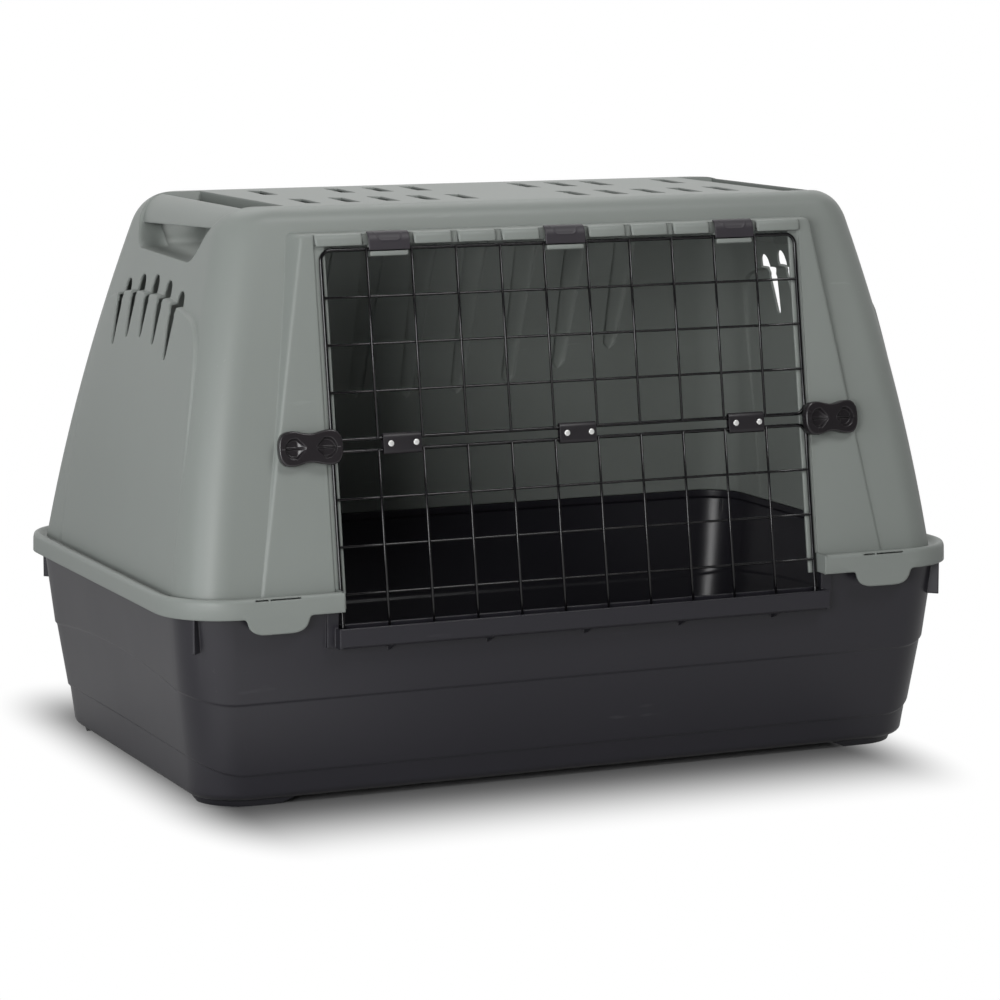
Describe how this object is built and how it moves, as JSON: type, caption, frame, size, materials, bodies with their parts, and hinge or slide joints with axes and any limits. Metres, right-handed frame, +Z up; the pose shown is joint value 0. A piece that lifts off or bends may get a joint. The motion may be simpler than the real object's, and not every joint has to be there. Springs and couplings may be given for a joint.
{
  "type": "pet transport carrier",
  "caption": "Box-shaped pet carrier: moulded lower tub, vented upper shell with handles in both ends, and a folding wire door with turning latches in its long front.",
  "frame": {"origin": "on the floor, under the middle of the rim", "axes": "+X along the carrier to the right seen from the door side, +Y from the door side to the back, +Z up"},
  "size_m": [1, 0.61, 0.666],
  "materials": {
    "shell_plastic": "fine satin grain, grey-green",
    "tub_plastic": "low sheen, charcoal",
    "clip_plastic": "satin, dark grey",
    "latch_plastic": "semi-gloss, near black",
    "coated_wire": "black powder coat",
    "joint_sheet": "black powder coat",
    "rivet_metal": "bright"
  },
  "bodies": {
    "carrier": {"tub": "tub_plastic", "shell": "shell_plastic", "hinge_clip_left": "clip_plastic", "hinge_clip_middle": "clip_plastic", "hinge_clip_right": "clip_plastic"},
    "door_upper": {"upper_door_panel": "coated_wire"},
    "fold_clips": {"joint_clip_left": "joint_sheet", "joint_clip_middle": "joint_sheet", "joint_clip_right": "joint_sheet", "rivet_left_a": "rivet_metal", "rivet_left_b": "rivet_metal", "rivet_middle_a": "rivet_metal", "rivet_middle_b": "rivet_metal", "rivet_right_a": "rivet_metal", "rivet_right_b": "rivet_metal"},
    "door_lower": {"lower_door_panel": "coated_wire"},
    "latch_left": {"latch_knob_left": "latch_plastic", "latch_spindle_left": "latch_plastic", "latch_retainer_left": "latch_plastic"},
    "latch_right": {"latch_knob_right": "latch_plastic", "latch_spindle_right": "latch_plastic", "latch_retainer_right": "latch_plastic"}
  },
  "joints": [
    {"name": "door_swing", "type": "hinge", "parent": "carrier", "child": "door_upper", "pos_m": [0, -0.2247, 0.6193], "axis": [-1, 0, 0], "range_deg": [0, 90]},
    {"name": "fold_upper", "type": "hinge", "parent": "door_upper", "child": "fold_clips", "pos_m": [0, -0.25665, 0.40932], "axis": [-1, 0, 0], "range_deg": [-90, 0]},
    {"name": "fold_lower", "type": "hinge", "parent": "fold_clips", "child": "door_lower", "pos_m": [0, -0.25865, 0.39618], "axis": [-1, 0, 0], "range_deg": [-90, 0]},
    {"name": "latch_left_turn", "type": "hinge", "parent": "carrier", "child": "latch_left", "pos_m": [-0.329, -0.26062, 0.4032], "axis": [-0.1045, -0.9832, 0.1496], "range_deg": [0, 90]},
    {"name": "latch_right_turn", "type": "hinge", "parent": "carrier", "child": "latch_right", "pos_m": [0.329, -0.26062, 0.4032], "axis": [0.1045, -0.9832, 0.1496], "range_deg": [0, 90]}
  ],
  "couplings": [
    {"joint": "fold_upper", "follows": "door_swing", "ratio": -1},
    {"joint": "fold_lower", "follows": "door_swing", "ratio": -1}
  ]
}
